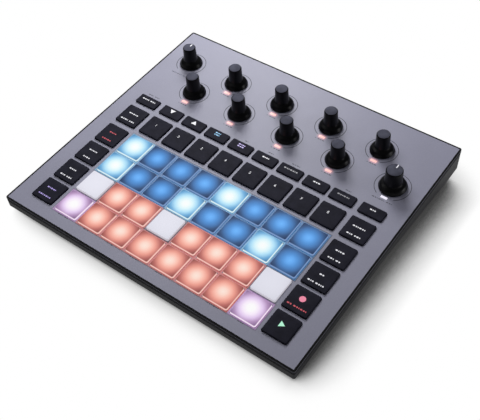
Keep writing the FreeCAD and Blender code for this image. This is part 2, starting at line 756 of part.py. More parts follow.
def make_knob_cap(name, size):
    """Turned rubber cap: a thin rim, a domed skirt, a slim stem and a bore for the shaft."""
    body = new_body(name)
    profile = new_sketch(body, f"{name}_profile", "XZ_Plane")
    stem, skirt = f"Size.{size}_stem", f"Size.{size}_skirt"
    bottom, shoulder = "Size.knob_lift", "(Size.knob_lift + Size.knob_shoulder)"
    dome = "(Size.knob_lift + Size.knob_dome_height)"
    bore_top = "(Size.knob_top - Size.knob_roof)"
    bore_radius = "(Size.shaft_radius + Size.shaft_fit)"
    draw_polygon(profile, [
        ("0", "Size.knob_top"), ("0", bore_top), (bore_radius, bore_top), (bore_radius, bottom),
        (skirt, bottom), (skirt, "(Size.knob_lift + Size.knob_rim_height)"),
        (f"({skirt} - Size.knob_dome_inset)", dome), (f"({stem} + Size.knob_draft)", shoulder),
        (stem, "(Size.knob_top - Size.knob_edge)"), (f"({stem} - Size.knob_edge)", "Size.knob_top")])
    turned = body.newObject("PartDesign::Revolution", f"{name}_turned")
    turned.Profile = profile
    turned.ReferenceAxis = (profile, ["V_Axis"])
    turned.Angle = 360
    domed = dress(body, "Fillet", turned, edge_at_height(dome), "Size.knob_dome_rounding")
    dress(body, "Fillet", domed, edge_at_height(shoulder), "Size.knob_neck_rounding")
    return body


def make_shaft(name, x, y):
    """Control shaft with a flat along its upper part, from the encoder up into the cap."""
    bottom = f"({BOARD_TOP} + Size.encoder_floor + Size.shaft_fit)"
    top = "(Size.knob_top - Size.knob_roof - Size.shaft_fit)"
    rod = panel_cylinder(f"{name}_rod", x, y, bottom, "Size.shaft_radius", f"({top} - {bottom})")
    flat = box(f"{name}_flat", "2 * Size.shaft_radius", "Size.shaft_flat", top)
    place_on_panel(flat, f"({x} - Size.shaft_radius)", f"({y} + Size.shaft_radius - Size.shaft_flat)",
                   "Size.shaft_flat_start")
    return cut(f"{name}_shaft", rod, flat)


def make_knobs():
    """Ten rotary controls, each a cap on its own shaft."""
    forms = {size: make_knob_cap(f"{size}_knob_form", size) for size in ("plain", "large")}
    knobs = []
    for name, x, y, size, _ in KNOBS:
        cap = copy_of(forms[size], f"{name}_cap", x, y)
        knobs.append(group_of(name, [cap, make_shaft(name, x, y)]))
    return knobs


def make_encoders():
    """The ten controls' bodies on the board, each with the bearing bore of its shaft."""
    cases = []
    height = f"({PANEL_BOTTOM} - Size.encoder_clearance - {BOARD_TOP})"
    for name, x, y, _, _ in KNOBS:
        case = box(f"{name}_case", "Size.encoder_size", "Size.encoder_size", height)
        place_on_panel(case, f"({x} - Size.encoder_size / 2)", f"({y} - Size.encoder_size / 2)", BOARD_TOP)
        bearing = panel_cylinder(f"{name}_bearing", x, y, f"({BOARD_TOP} + Size.encoder_floor)",
                                 "Size.shaft_radius + Size.shaft_fit", height)
        cases.append(cut(f"{name}_encoder", case, bearing))
    return group_of("encoders", cases)


def make_led_windows():
    """Nine clear bars that carry light from the board up to the panel's face."""
    body = new_body("led_windows")
    bars = new_sketch(body, "led_bars", height=BOARD_TOP)
    for _, x, y, _, _ in KNOBS[1:]:
        draw_window(bars, x, y, "0")
    extrude(body, "Pad", bars, f"-{BOARD_TOP}")
    return place_on_panel(body)


def make_keymat():
    """Moulded rubber mat on the board, with a raised dome under every pad and button."""
    body = new_body("keymat")
    outline = new_sketch(body, "mat_outline", height=BOARD_TOP)
    draw_box(outline, "-Size.mat_half_width", "Size.mat_half_width", "Size.mat_front", "Size.mat_back")
    extrude(body, "Pad", outline, "Size.mat_thickness")
    for group in GRIDS:
        dome = new_sketch(body, f"dome_{group['name']}", height=MAT_TOP)
        draw_circle(dome, group["x"], group["y"], "Size.dome_radius")
        raised = extrude(body, "Pad", dome, "Size.dome_height")
        repeat(body, raised, dome, group["columns"], group["span_x"], group["rows"], group["span_y"])
    return place_on_panel(body)


def make_control_board():
    """Circuit board under the whole panel, which carries the mat, the controls and the lights."""
    body = new_body("control_board")
    outline = new_sketch(body, "board_outline", height=BOARD_TOP)
    draw_box(outline, "-Size.mat_half_width", "Size.mat_half_width", "Size.mat_front", "Size.board_back")
    extrude(body, "Pad", outline, "Size.board_thickness", reverse=True)
    return place_on_panel(body)


def make_main_board():
    """Level board at the back, with the header that reaches up to the control board."""
    board = level_box("main_board_plate", "0", MAIN_BOARD_FRONT, MAIN_BOARD_BOTTOM,
                      "2 * Size.main_board_half_width", "Size.main_board_depth", "Size.board_thickness")
    header_front = f"({MAIN_BOARD_FRONT} + Size.header_place)"
    ceiling = (f"(Size.front_height + {panel_y(header_front, MAIN_BOARD_TOP)} * {SIN}"
               f" + {BOARD_BOTTOM} * {COS} - Size.header_gap)")
    header = level_box("board_header", "0", header_front, MAIN_BOARD_TOP, "Size.header_width",
                       "Size.header_depth", f"({ceiling} - {MAIN_BOARD_TOP})")
    switch_depth = f"({BACK_INNER} - Size.power_inside - Size.power_travel - Size.stop_gap)"
    switch = level_box("power_switch", "Size.power_x", f"({switch_depth} - Size.switch_depth)",
                       MAIN_BOARD_TOP, "Size.switch_width", "Size.switch_depth", "Size.switch_height")
    return group_of("main_board", [board, header, switch])


def make_battery():
    """Flat rechargeable cell on the floor, in front of the main board."""
    front = f"({MAIN_BOARD_FRONT} - Size.battery_back_gap - Size.battery_depth)"
    return level_box("battery", "0", front, FLOOR_TOP,
                     "Size.battery_width", "Size.battery_depth", "Size.battery_height")


def make_jack(name, x, size):
    """Socket block standing on the main board, with a collar in the wall and a blind bore."""
    radius, collar = f"Size.{size}_bore", f"Size.{size}_collar"
    width, depth = f"Size.{size}_body", f"Size.{size}_depth"
    front = f"({BACK_INNER} - {depth})"
    block = level_box(f"{name}_block", x, front, MAIN_BOARD_TOP, width, depth,
                      f"2 * (Size.socket_height - {MAIN_BOARD_TOP})")
    neck = bore(f"{name}_neck", x, f"({BACK_INNER} - Size.past)", "Size.socket_height", collar,
                "Size.wall + Size.past")
    hole = bore(f"{name}_bore", x, f"({front} + Size.jack_end)", "Size.socket_height", radius,
                f"{depth} + Size.wall")
    return cut(name, group_of(f"{name}_solid", [block, neck], "Part::MultiFuse"), hole)


def make_jack_sockets():
    """Four line jacks and five small jacks in a row along the back."""
    jacks = [make_jack(f"line_jack_{number + 1}", line_jack_x(number), "line")
             for number in range(LINE_JACKS)]
    jacks += [make_jack(f"mini_jack_{number + 1}", mini_jack_x(number), "mini")
              for number in range(MINI_JACKS)]
    return group_of("jack_sockets", jacks)


def make_port(name, x, size):
    """Flat metal shell on the main board, open to the back wall, closed behind."""
    width, height = f"Size.{size}_width", f"Size.{size}_height"
    depth, shell = f"Size.{size}_depth", f"Size.{size}_shell"
    front = f"({BACK_OUTER} - {depth})"
    low = f"(Size.socket_height - {height} / 2)"
    case = level_box(f"{name}_case", x, front, f"({low} - {shell})", f"({width} + 2 * {shell})", depth,
                     f"({height} + 2 * {shell})")
    mouth = level_box(f"{name}_mouth", x, f"({front} + {shell})", low, width, depth, height)
    stand = level_box(f"{name}_stand", x, front, MAIN_BOARD_TOP, width,
                      f"({depth} - Size.wall - Size.port_stand_gap)", f"({low} - {shell} - {MAIN_BOARD_TOP})")
    return [cut(f"{name}_shell", case, mouth), stand]


def make_port_sockets():
    """Computer port and memory card slot."""
    return group_of("port_sockets", make_port("usb_port", "Size.usb_x", "usb")
                    + make_port("card_port", "Size.card_x", "card"))


def make_power_button():
    """Push button in the back wall: its cap, and a flange inside that keeps it in."""
    low = "(Size.socket_height - Size.power_height / 2)"
    cap_front = f"({BACK_INNER} - Size.power_inside)"
    cap = level_box("power_cap", "Size.power_x", cap_front, low, "Size.power_width",
                    "Size.power_inside + Size.wall", "Size.power_height")
    reach = "(Size.power_gap + Size.power_flange)"
    flange = level_box("power_flange_plate", "Size.power_x",
                       f"({BACK_INNER} - Size.flange_gap - Size.power_flange)", f"({low} - {reach})",
                       f"(Size.power_width + 2 * {reach})", "Size.power_flange",
                       f"(Size.power_height + 2 * {reach})")
    return group_of("power_button", [cap, flange], "Part::MultiFuse")


def make_case_screws():
    """Eight equal screws, heads up against the posts' shelves and tips in the panel's bosses."""
    screws = []
    for number, (x, y) in enumerate(SCREWS):
        head = panel_cylinder(f"screw_head_{number}", x, y, f"({SHELF_BOTTOM} - Size.screw_head_height)",
                              "Size.screw_head_radius", "Size.screw_head_height")
        stem = panel_cylinder(f"screw_stem_{number}", x, y, f"({SHELF_BOTTOM} - Size.screw_head_height / 2)",
                              "Size.screw_radius",
                              "Size.screw_head_height / 2 + Size.post_shelf + Size.screw_bite")
        screws.append(group_of(f"case_screw_{number}", [head, stem], "Part::MultiFuse"))
    return group_of("case_screws", screws)


def check(pieces):
    """Stops the build if anything in the document failed or any sub-part is unsound."""
    for item in doc.Objects:
        faults = [state for state in item.State if state in ("Invalid", "Error")]
        if faults:
            raise RuntimeError(f"{item.Name} is {faults[0]}")
    for piece in pieces:
        if piece.Shape.isNull() or not piece.Shape.isValid() or not piece.Shape.Solids:
            raise RuntimeError(f"{piece.Label} has no sound shape")


def export(pieces):
    os.makedirs("parts", exist_ok=True)
    for piece in pieces:
        piece.Shape.exportStep(f"parts/{piece.Label}.step")
        print(f"{piece.Label}: {len(piece.Shape.Solids)} solids, {piece.Shape.Volume:.0f} mm3")


sub_parts = [make_top_panel(), make_lower_case(), make_feet(), make_case_screws(), make_keymat(),
             make_control_board(), make_encoders(), make_led_windows(), make_main_board(), make_battery(),
             make_jack_sockets(), make_port_sockets(), make_power_button()]
sub_parts += make_knobs() + make_pads() + make_buttons()
doc.recompute()
check(sub_parts)
export(sub_parts)
whole = Part.makeCompound([piece.Shape for piece in sub_parts]).BoundBox
print(f"{len(sub_parts)} sub-parts, {whole.XLength:.2f} x {whole.YLength:.2f} x {whole.ZLength:.2f} mm")
print(f"centre x {whole.Center.x:.3f}, y {whole.Center.y:.3f}, lowest {whole.ZMin:.3f}")
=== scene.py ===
import json
import math

import bpy
from mathutils import Matrix, Vector


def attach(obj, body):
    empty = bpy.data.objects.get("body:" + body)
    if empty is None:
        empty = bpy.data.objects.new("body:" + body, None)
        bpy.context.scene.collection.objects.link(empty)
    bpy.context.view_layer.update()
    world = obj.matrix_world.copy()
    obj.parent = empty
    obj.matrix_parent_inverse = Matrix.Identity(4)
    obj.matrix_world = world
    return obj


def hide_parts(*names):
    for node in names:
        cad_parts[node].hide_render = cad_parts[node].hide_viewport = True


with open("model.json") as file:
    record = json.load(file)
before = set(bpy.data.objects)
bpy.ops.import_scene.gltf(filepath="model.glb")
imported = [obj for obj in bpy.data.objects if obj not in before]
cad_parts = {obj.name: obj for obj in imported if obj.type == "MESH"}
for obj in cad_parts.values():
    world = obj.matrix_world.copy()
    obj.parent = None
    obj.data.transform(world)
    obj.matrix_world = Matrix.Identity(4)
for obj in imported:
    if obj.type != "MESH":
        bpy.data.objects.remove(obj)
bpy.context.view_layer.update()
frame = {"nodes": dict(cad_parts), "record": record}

MM = 0.001

# Layout of the panel
PITCH = 21.2
SIDE_COLUMN = 96.9
FIRST_ROW = 21.1
TRACK_ROW = 107.9
UPPER_ROW = 126.3
FRONT_KNOB_ROW = 153.6
BACK_KNOB_ROW = 178.5
COLUMNS = [(number - 3.5) * PITCH for number in range(8)]
ROWS = [FIRST_ROW + number * PITCH for number in range(4)]

PANEL_WIDTH = 240.0
PANEL_DEPTH = 210.0
PANEL_THICKNESS = 3.0
BORDER = 1.4

# Caps
PAD_SIZE = 19.0
BUTTON_SIZE = 18.2
UPPER_DEPTH = 9.0
CAP_TOP = 1.4
CAP_BOTTOM = -4.1
FLANGE_TOP = -3.1
FLANGE_REACH = 0.65
CAP_CORNER = 1.0
PAD_OPENING = 9.8
PAD_EDGE = 0.55
PAD_CROWN = 0.06
BUTTON_EDGE = 0.4
BUTTON_CROWN = 0.04
PAD_PLUNGER = 4.0
BUTTON_PLUNGER = 3.0
UPPER_PLUNGER = 2.2
PLUNGER_DEPTH = 0.8

# Knobs
KNOB_TOP = 16.4
KNOB_LIFT = 0.5
KNOB_RIM = 0.7
KNOB_DOME = 3.0
KNOB_DOME_INSET = 1.2
KNOB_DOME_ROUNDING = 2.4
KNOB_SHOULDER = 4.4
KNOB_NECK_ROUNDING = 0.9
KNOB_DRAFT = 0.35
KNOB_EDGE = 0.5
TOP_LIFT = 0.25
TOP_GAP = 0.08
SHAFT_RADIUS = 3.0
SHAFT_BOTTOM = -6.0
PLAIN_STEM = 4.9
PLAIN_SKIRT = 8.9
LARGE_STEM = 5.9
LARGE_SKIRT = 9.95
LED_OFFSET = 11.8
LED_LENGTH = 4.9
LED_WIDTH = 2.0

# Print and legends lie this far off the surface that carries them
INK_LIFT = 0.03
INK_THICKNESS = 0.03

joints = {joint["name"]: joint for joint in frame["record"]["behaviour"]["joints"]}
RIGHT = Vector((1, 0, 0))
NORMAL = Vector(joints["volume_turn"]["axis"]).normalized()
REARWARD = NORMAL.cross(RIGHT)
ORIGIN = Vector(joints["volume_turn"]["pos_m"]) + (SIDE_COLUMN * RIGHT - BACK_KNOB_ROW * REARWARD) * MM
PANEL = Matrix.Identity(4)
for axis_number, axis in enumerate((RIGHT, REARWARD, NORMAL)):
    PANEL.col[axis_number][:3] = axis * MM
PANEL.col[3][:3] = ORIGIN


def srgb(red, green, blue):
    """Linear colour of an sRGB one given in steps of 0 to 255."""
    def linear(step):
        part = step / 255
        return part / 12.92 if part <= 0.04045 else ((part + 0.055) / 1.055) ** 2.4
    return (linear(red), linear(green), linear(blue), 1.0)


# Materials

BLACK = (0.0, 0.0, 0.0, 1.0)


def new_material(name, color=BLACK, roughness=0.5, metallic=0.0, specular=0.5):
    material = bpy.data.materials.new(name)
    material.use_nodes = True
    shader = material.node_tree.nodes["Principled BSDF"]
    shader.inputs["Base Color"].default_value = color
    shader.inputs["Roughness"].default_value = roughness
    shader.inputs["Metallic"].default_value = metallic
    shader.inputs["Specular IOR Level"].default_value = specular
    return material


def shader_of(material):
    return material.node_tree.nodes["Principled BSDF"]


def add_node(owner, kind, inputs=None, **settings):
    """Adds a node to a material or world; inputs maps a socket's name or number to a value or a socket."""
    node = owner.node_tree.nodes.new(kind)
    for key, setting in settings.items():
        setattr(node, key, setting)
    for key, source in (inputs or {}).items():
        if isinstance(source, bpy.types.NodeSocket):
            owner.node_tree.links.new(source, node.inputs[key])
        else:
            node.inputs[key].default_value = source
    return node


def link(material, source, socket):
    material.node_tree.links.new(source, shader_of(material).inputs[socket])


def calculate(owner, operation, *terms):
    """Result of a Math node on one or two terms, each a value or a socket."""
    return add_node(owner, "ShaderNodeMath", dict(enumerate(terms)), operation=operation).outputs["Value"]


def map_range(owner, factor, start, end, low, high, interpolation="LINEAR"):
    """Maps a factor from the range start to end to the range low to high."""
    node = add_node(owner, "ShaderNodeMapRange",
                    {"Value": factor, "From Min": start, "From Max": end, "To Min": low, "To Max": high},
                    interpolation_type=interpolation)
    return node.outputs["Result"]


def mix(material, factor, first, second):
    """Mixes two colours, each given as a value or as a socket."""
    node = add_node(material, "ShaderNodeMix", {"Factor": factor, 6: first, 7: second}, data_type="RGBA")
    return node.outputs[2]


def ramp(material, factor, stops):
    """Colour ramp through (place, colour) stops."""
    node = add_node(material, "ShaderNodeValToRGB", {"Fac": factor})
    elements = node.color_ramp.elements
    while len(elements) < len(stops):
        elements.new(0.5)
    for element, (place, color) in zip(elements, stops):
        element.position = place
        element.color = color
    return node.outputs["Color"]


def object_place(material):
    return add_node(material, "ShaderNodeTexCoord").outputs["Object"]


def noise(material, scale, detail=3.0):
    """Noise of the given scale, in cells per metre, over the object's own space."""
    node = add_node(material, "ShaderNodeTexNoise", {
        "Vector": object_place(material), "Scale": scale, "Detail": detail, "Roughness": 0.55})
    return node.outputs["Fac"]


def bump(material, height, strength, distance):
    node = add_node(material, "ShaderNodeBump", {
        "Height": height, "Strength": strength, "Distance": distance})
    link(material, node.outputs["Normal"], "Normal")


def vary(material, factor, low, high, socket):
    """Drives a shader input between two values by a factor of 0 to 1."""
    link(material, map_range(material, factor, 0.0, 1.0, low, high), socket)


def along_panel(material, axis):
    """Place of the shaded point along one of the panel's axes, in millimetres."""
    offset = add_node(material, "ShaderNodeVectorMath", {0: object_place(material), 1: tuple(ORIGIN)},
                      operation="SUBTRACT")
    along = add_node(material, "ShaderNodeVectorMath", {0: offset.outputs["Vector"], 1: tuple(axis / MM)},
                     operation="DOT_PRODUCT")
    return along.outputs["Value"]


def border_distance(material):
    """Distance in millimetres from the nearest side of the panel, at the shaded point."""
    distances = []
    for axis, length, middle in ((RIGHT, PANEL_WIDTH, 0.0), (REARWARD, PANEL_DEPTH, PANEL_DEPTH / 2)):
        offset = calculate(material, "SUBTRACT", along_panel(material, axis), middle)
        distances.append(calculate(material, "SUBTRACT", length / 2, calculate(material, "ABSOLUTE", offset)))
    return calculate(material, "MINIMUM", *distances)


def cap_distance(material):
    """Distance from the middle of a cap or window, 1 at the middle of its edges."""
    spot = add_node(material, "ShaderNodeUVMap", uv_map="cap").outputs["UV"]
    return add_node(material, "ShaderNodeVectorMath", {0: spot}, operation="LENGTH").outputs["Value"]


def tints(*stops):
    """Stops of a ramp from (place, (red, green, blue)) pairs."""
    return [(place, srgb(*color)) for place, color in stops]


# Panel paint: ramp stops of its face and sides, the sides' lighter band being a painted highlight along the
# edge, and the heights and width of its fade to the border
FACE_TONES = tints((0.3, (143, 143, 162)), (0.7, (149, 149, 169)))
FACE_SPECKLES = tints((0.3, (133, 133, 151)), (0.72, (159, 159, 179)))
SPECKLE_SHARE = 0.45
FACE_FADE = (-0.02, -0.005)
BORDER_FADE = 0.1
# Sides, from low down to the top edge: dark, then a lighter band that is a painted highlight along the edge,
# then near black
SIDE_TONES_AND_HIGHLIGHT = tints((0.6, (30, 30, 35)), (0.68, (90, 90, 100)), (0.88, (90, 90, 100)), (0.93, (8, 8, 10)))
SIDE_ROUGHNESS = 0.95
HALO_STRENGTH = 0.5


def face_mask(material, height):
    """1 on the panel's face, 0 on its dark border and sides."""
    upper = map_range(material, height, *FACE_FADE, 0.0, 1.0)
    inner = map_range(material, border_distance(material), BORDER - BORDER_FADE, BORDER, 0.0, 1.0)
    return calculate(material, "MINIMUM", upper, inner)


def spread_light(material, color, spread):
    """Lets the surface shine in a colour that fades out between two spots of the cap map."""
    fade = map_range(material, cap_distance(material), *spread, 1.0, 0.0, "SMOOTHSTEP")
    link(material, mix(material, fade, BLACK, color), "Emission Color")
    shader_of(material).inputs["Emission Strength"].default_value = HALO_STRENGTH


def panel_paint(name, halo=None, spread=(0.3, 1.0), shaded=0.0):
    """Satin lavender-grey paint with a fine grain, and a dull dark border and sides, the sides crossed by a
    lighter band that is a painted highlight.

    With a halo colour, the paint also shows the light that a lit window or pad spreads over it,
    and shaded is the share of other light that is kept from it."""
    material = new_material(name, specular=0.35)
    tone = ramp(material, noise(material, 40.0, 2.0), FACE_TONES)
    speckle = ramp(material, noise(material, 2600.0, 4.0), FACE_SPECKLES)
    face = mix(material, SPECKLE_SHARE, tone, speckle)
    if shaded:
        face = mix(material, shaded, face, BLACK)
    height = along_panel(material, NORMAL)
    # The lighter band of the side tones is a painted highlight along the panel's edge
    side = ramp(material, map_range(material, height, -PANEL_THICKNESS, 0.0, 0.0, 1.0), SIDE_TONES_AND_HIGHLIGHT)
    mask = face_mask(material, height)
    link(material, mix(material, mask, side, face), "Base Color")
    gloss = map_range(material, noise(material, 900.0), 0.0, 1.0, 0.42, 0.58)
    vary(material, mask, SIDE_ROUGHNESS, gloss, "Roughness")
    bump(material, noise(material, 5200.0, 2.0), 0.10, 0.00002)
    if halo:
        spread_light(material, halo, spread)
    return material


def scaled(color, factor):
    """A colour made darker or lighter, its alpha kept at 1."""
    return tuple(min(1.0, part * factor) for part in color[:3]) + (1.0,)


def moulded_plastic(name, color, roughness=0.55, grain=3500.0, strength=0.25, specular=0.5):
    """Fine-textured moulded plastic or rubber, its colour and gloss slightly uneven."""
    material = new_material(name, color, roughness, specular=specular)
    shade = ramp(material, noise(material, 160.0), [(0.3, scaled(color, 0.8)), (0.7, scaled(color, 1.25))])
    link(material, shade, "Base Color")
    vary(material, noise(material, 600.0), roughness - 0.06, roughness + 0.08, "Roughness")
    bump(material, noise(material, grain, 2.0), strength, 0.00003)
    return material


def metal(name, color, roughness):
    material = new_material(name, color, roughness, metallic=1.0)
    vary(material, noise(material, 1200.0), roughness - 0.08, roughness + 0.12, "Roughness")
    bump(material, noise(material, 2500.0, 2.0), 0.08, 0.00002)
    return material


def glow(name, color, strength):
    """Lit legend or window: part of its colour is its own light."""
    material = new_material(name, scaled(color, 0.4), roughness=0.4)
    shader_of(material).inputs["Emission Strength"].default_value = strength
    shade = ramp(material, noise(material, 1800.0), [(0.2, scaled(color, 0.86)), (0.8, color)])
    link(material, shade, "Emission Color")
    return material


# Pad faces: ramp places, distance of a corner on the cap map, unevenness, and heights under the top between
# which the rim's colour, on the coloured pads a painted highlight on the rolled edge, gives way to the face's
PAD_STOPS = (0.0, 0.18, 0.36, 0.54, 0.75, 1.0)
CORNER_SPOT = 1.4
PAD_WOBBLE = 0.05
RIM_HIGHLIGHT_BOTTOM = 0.5
RIM_HIGHLIGHT_TOP = 0.12


def pad_rubber(name, own_light, rim, colors):
    """Milky pad lit from below: colours from its middle to its corners, and a rim colour on its rolled edge,
    on the coloured pads a painted highlight that glows with the pad.
    """
    material = new_material(name, roughness=0.45, specular=0.04)
    wobble = map_range(material, noise(material, 220.0), 0.0, 1.0, -PAD_WOBBLE, PAD_WOBBLE)
    reach = calculate(material, "ADD", cap_distance(material), wobble)
    stops = [(place, srgb(*color)) for place, color in zip(PAD_STOPS, colors)]
    face = ramp(material, calculate(material, "DIVIDE", reach, CORNER_SPOT), stops)
    # The rolled edge takes the rim colour: on the coloured pads a painted highlight, given off with the pad's
    # own light
    raised = map_range(material, along_panel(material, NORMAL), CAP_TOP - RIM_HIGHLIGHT_BOTTOM, CAP_TOP - RIM_HIGHLIGHT_TOP,
                       0.0, 1.0)
    color = mix(material, raised, srgb(*rim), face)
    link(material, color, "Emission Color")
    shader_of(material).inputs["Emission Strength"].default_value = own_light
    link(material, mix(material, 1.0 - own_light, BLACK, color), "Base Color")
    bump(material, noise(material, 3000.0, 2.0), 0.12, 0.00003)
    return material


MATERIALS = {
    "panel": panel_paint("panel_paint"),
    "halo": panel_paint("panel_halo", srgb(230, 128, 132)),
    "case": moulded_plastic("case_plastic", srgb(22, 22, 27), 0.55, specular=0.15),
    "foot": moulded_plastic("foot_rubber", srgb(20, 20, 22), 0.7),
    "button": moulded_plastic("button_rubber", srgb(35, 35, 46), 0.6, 4200.0, 0.35, 0.05),
    "knob": moulded_plastic("knob_rubber", srgb(4, 4, 7), 0.3, 3800.0, 0.1, 0.16),
    "knob_top": moulded_plastic("knob_top", srgb(79, 80, 93), 0.7, 3000.0, 0.3, 0.03),
    "ring_ink": moulded_plastic("ring_ink", srgb(60, 60, 70), 0.6, specular=0.3),
    "small_ink": moulded_plastic("small_ink", srgb(84, 84, 96), 0.6, specular=0.3),
    "steel": metal("screw_steel", srgb(90, 90, 94), 0.4),
    "tin": metal("port_metal", srgb(190, 190, 194), 0.28),
    "socket": moulded_plastic("socket_plastic", srgb(22, 22, 24), 0.45),
    "board": moulded_plastic("circuit_board", srgb(20, 78, 44), 0.35),
    "mat": moulded_plastic("mat_rubber", srgb(190, 190, 196), 0.5),
    "foil": moulded_plastic("battery_foil", srgb(150, 152, 158), 0.3),
}

# Light that the pads spread over the panel: colour, and the share of other light kept from the paint
SPILLS = {"spill_blue": ((30, 132, 200), 0.6), "spill_cyan": ((90, 190, 235), 0.35),
          "spill_orange": ((234, 100, 74), 0.48), "spill_lavender": ((196, 130, 205), 0.35)}
for name, (color, shaded) in SPILLS.items():
    MATERIALS[name] = panel_paint(name, srgb(*color), (0.0, 1.0), shaded)

# Lit marks and windows: colour and strength
GLOWS = {"white_mark": ((238, 238, 245), 0.62), "dim_mark": ((160, 160, 168), 0.4),
         "blue_mark": ((110, 190, 240), 0.6), "lavender_mark": ((178, 160, 232), 0.6),
         "pink_mark": ((240, 132, 162), 0.7), "red_mark": ((206, 74, 88), 0.6),
         "green_mark": ((176, 244, 210), 0.75), "led_pink": ((252, 196, 188), 0.85),
         "led_white": ((240, 236, 252), 0.85)}
for name, (color, strength) in GLOWS.items():
    MATERIALS[name] = glow(name, srgb(*color), strength)

# Pads: share of own light, rim colour (on the coloured pads a painted highlight on the rolled edge), and
# colours at PAD_STOPS
PADS = {
    "pad_blue": (0.9, (128, 158, 204), (
        (112, 184, 255), (103, 171, 243), (86, 148, 216), (76, 125, 185), (60, 88, 130), (42, 54, 84))),
    "pad_cyan": (0.9, (228, 250, 255), (
        (255, 255, 255), (246, 255, 255), (222, 249, 255), (182, 229, 252), (116, 177, 222), (68, 116, 158))),
    "pad_orange": (0.9, (255, 204, 194), (
        (255, 232, 220), (255, 221, 207), (254, 194, 178), (238, 160, 145), (190, 112, 106), (128, 74, 70))),
    "pad_lavender": (0.9, (255, 236, 255), (
        (255, 255, 255), (255, 253, 255), (250, 237, 254), (230, 206, 242), (182, 149, 191), (126, 98, 138))),
    "pad_white": (0.6, (226, 222, 232), (
        (240, 240, 252), (240, 240, 252), (239, 239, 251), (238, 238, 250), (235, 235, 247),
        (230, 230, 243))),
}
for name, settings in PADS.items():
    MATERIALS[name] = pad_rubber(name, *settings)


# Mesh tools

SMOOTH_ANGLE = 35.0


def new_piece(name, points, faces, material, body):
    """Makes a mesh object from points in the panel's axes, and lets it ride on a body."""
    mesh = bpy.data.meshes.new(name)
    mesh.from_pydata([PANEL @ Vector(point) for point in points], [], faces)
    mesh.validate()
    piece = bpy.data.objects.new(name, mesh)
    bpy.context.scene.collection.objects.link(piece)
    mesh.materials.append(MATERIALS[material])
    mesh.shade_smooth()
    mesh.set_sharp_from_angle(angle=math.radians(SMOOTH_ANGLE))
    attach(piece, body)
    return piece


class Shell:
    """Points and faces of one or more closed solids, gathered for a single object."""

    def __init__(self):
        self.points = []
        self.faces = []
        self.spots = []

    def add_rings(self, rings, spots=None):
        """Joins equal rings of points into a closed solid, capped at both ends."""
        first, count = len(self.points), len(rings[0])
        for ring in rings:
            self.points += ring
        self.spots += spots or [(0.0, 0.0)] * (len(rings) * count)
        for level in range(len(rings) - 1):
            low, high = first + level * count, first + (level + 1) * count
            for step in range(count):
                following = (step + 1) % count
                self.faces.append((low + step, low + following, high + following, high + step))
        self.faces.append(tuple(first + step for step in reversed(range(count))))
        top = first + (len(rings) - 1) * count
        self.faces.append(tuple(top + step for step in range(count)))

    def add_frame(self, inner, outer, spots, thickness):
        """Adds a thin flat frame between two outlines, with the given spots along the outer one."""
        first, count = len(self.points), len(inner)
        middle, rim = [(0.0, 0.0)] * count, [(spot, 0.0) for spot in spots]
        loops = ((inner, 0.0, middle), (outer, 0.0, rim),
                 (outer, thickness, rim), (inner, thickness, middle))
        for outline, z, loop_spots in loops:
            self.points += [(x, y, z) for x, y in outline]
            self.spots += loop_spots
        for level in range(len(loops)):
            low, high = first + level * count, first + (level + 1) % len(loops) * count
            for step in range(count):
                following = (step + 1) % count
                self.faces.append((low + step, low + following, high + following, high + step))

    def add_map(self, piece):
        """Stores each corner's spot on its cap as a map for the materials."""
        layer = piece.data.uv_layers.new(name="cap")
        for loop in piece.data.loops:
            layer.data[loop.index].uv = self.spots[loop.vertex_index]


def rounded_ring(x, y, half_x, half_y, corner, z, steps=6):
    """Points round a rectangle with round corners, anticlockwise."""
    corner = min(corner, half_x, half_y)
    ring = []
    for quarter, (side_x, side_y) in enumerate(((1, 1), (-1, 1), (-1, -1), (1, -1))):
        for step in range(steps + 1):
            angle = (quarter + step / steps) * math.pi / 2
            ring.append((x + side_x * (half_x - corner) + corner * math.cos(angle),
                         y + side_y * (half_y - corner) + corner * math.sin(angle), z))
    return ring


def add_cap(shell, x, y, half_x, half_y, edge, plunger, crown):
    """Adds one pad or button: plunger, flange, block, rolled upper edge and a slightly raised top."""
    bottom = CAP_BOTTOM - PLUNGER_DEPTH
    profile = [(plunger, plunger, plunger, bottom), (plunger, plunger, plunger, CAP_BOTTOM),
               (half_x + FLANGE_REACH, half_y + FLANGE_REACH, CAP_CORNER, CAP_BOTTOM),
               (half_x + FLANGE_REACH, half_y + FLANGE_REACH, CAP_CORNER, FLANGE_TOP),
               (half_x, half_y, CAP_CORNER, FLANGE_TOP)]
    turns = 5
    for turn in range(turns + 1):
        angle = turn / turns * math.pi / 2
        inset = edge * (1 - math.cos(angle))
        profile.append((half_x - inset, half_y - inset, CAP_CORNER - inset * 0.5,
                        CAP_TOP - crown - edge * (1 - math.sin(angle))))
    for share in (0.72, 0.4, 0.12):
        profile.append(((half_x - edge) * share, (half_y - edge) * share, CAP_CORNER * share,
                        CAP_TOP - crown * share ** 2))
    rings = [rounded_ring(x, y, *sizes) for sizes in profile]
    spots = [((point[0] - x) / half_x, (point[1] - y) / half_y) for ring in rings for point in ring]
    shell.add_rings(rings, spots)


def lathe(shell, x, y, profile, segments):
    """Turns a profile of (radius, z) about an axis square to the panel."""
    angles = [2 * math.pi * step / segments for step in range(segments)]
    shell.add_rings([[(x + radius * math.cos(angle), y + radius * math.sin(angle), z) for angle in angles]
                     for radius, z in profile])


